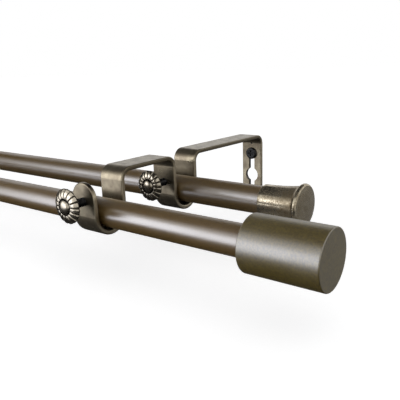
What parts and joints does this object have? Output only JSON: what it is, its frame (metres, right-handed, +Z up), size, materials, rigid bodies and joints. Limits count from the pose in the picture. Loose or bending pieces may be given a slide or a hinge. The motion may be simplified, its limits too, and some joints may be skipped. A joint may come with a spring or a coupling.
{
  "type": "double curtain pole",
  "caption": "Double curtain pole: two telescoping tubes, one before the other, held by bent strip wall brackets with rosette thumb screws, cylinder finials and flared caps.",
  "frame": {"origin": "where the axis of the right wall screw enters the wall", "axes": "+X along the poles to the right end, +Y into the wall, +Z up"},
  "size_m": [0.7872, 0.1947, 0.0593],
  "materials": {
    "pole_paint": "satin cocoa-brown metallic paint",
    "finial_paint": "satin olive-brown metallic paint with fine grain",
    "bracket_pewter": "antique pewter plating, darker in the bends and along the edges",
    "antique_brass": "polished antique brass plating with a mottled dark patina",
    "black_steel": "black oxide",
    "zinc_steel": "zinc plate",
    "insert_plastic": "moulded, plain"
  },
  "bodies": {
    "right_half": {"front_outer_tube": "pole_paint", "back_outer_tube": "pole_paint", "bracket_right": "bracket_pewter", "wall_screw_right": "black_steel", "front_finial_right": "finial_paint", "finial_stud_right": "zinc_steel", "tube_insert_right": "insert_plastic", "back_cap_right": "antique_brass"},
    "left_half": {"front_inner_tube": "pole_paint", "back_inner_tube": "pole_paint", "bracket_left": "bracket_pewter", "wall_screw_left": "black_steel", "front_finial_left": "finial_paint", "finial_stud_left": "zinc_steel", "tube_insert_left": "insert_plastic", "back_cap_left": "antique_brass"},
    "shank_front_right": {"screw_shank_front_right": "black_steel"},
    "head_front_right": {"screw_head_front_right": "antique_brass"},
    "shank_back_right": {"screw_shank_back_right": "black_steel"},
    "head_back_right": {"screw_head_back_right": "antique_brass"},
    "shank_front_left": {"screw_shank_front_left": "black_steel"},
    "head_front_left": {"screw_head_front_left": "antique_brass"},
    "shank_back_left": {"screw_shank_back_left": "black_steel"},
    "head_back_left": {"screw_head_back_left": "antique_brass"}
  },
  "joints": [
    {"name": "telescope", "type": "slide", "parent": "right_half", "child": "left_half", "axis": [-1, 0, 0], "range_m": [0, 0.508]},
    {"name": "thumb_screw_travel_front_right", "type": "slide", "parent": "right_half", "child": "shank_front_right", "axis": [0, -1, 0], "range_m": [0, 0.00402]},
    {"name": "thumb_screw_turn_front_right", "type": "hinge", "parent": "shank_front_right", "child": "head_front_right", "pos_m": [0, -0.1836, -0.0004], "axis": [0, -1, 0], "range_deg": [0, 1800]},
    {"name": "thumb_screw_travel_back_right", "type": "slide", "parent": "right_half", "child": "shank_back_right", "axis": [0, -1, 0], "range_m": [0, 0.00402]},
    {"name": "thumb_screw_turn_back_right", "type": "hinge", "parent": "shank_back_right", "child": "head_back_right", "pos_m": [0, -0.1188, -0.0023], "axis": [0, -1, 0], "range_deg": [0, 1800]},
    {"name": "thumb_screw_travel_front_left", "type": "slide", "parent": "left_half", "child": "shank_front_left", "axis": [0, -1, 0], "range_m": [0, 0.00402]},
    {"name": "thumb_screw_turn_front_left", "type": "hinge", "parent": "shank_front_left", "child": "head_front_left", "pos_m": [-0.5162, -0.1836, 0.00097], "axis": [0, -1, 0], "range_deg": [0, 1800]},
    {"name": "thumb_screw_travel_back_left", "type": "slide", "parent": "left_half", "child": "shank_back_left", "axis": [0, -1, 0], "range_m": [0, 0.00402]},
    {"name": "thumb_screw_turn_back_left", "type": "hinge", "parent": "shank_back_left", "child": "head_back_left", "pos_m": [-0.5162, -0.1188, -0.00093], "axis": [0, -1, 0], "range_deg": [0, 1800]}
  ],
  "couplings": [
    {"joint": "thumb_screw_travel_front_right", "follows": "thumb_screw_turn_front_right", "m_per_rad": 0.00012732},
    {"joint": "thumb_screw_travel_back_right", "follows": "thumb_screw_turn_back_right", "m_per_rad": 0.00012732},
    {"joint": "thumb_screw_travel_front_left", "follows": "thumb_screw_turn_front_left", "m_per_rad": 0.00012732},
    {"joint": "thumb_screw_travel_back_left", "follows": "thumb_screw_turn_back_left", "m_per_rad": 0.00012732}
  ]
}
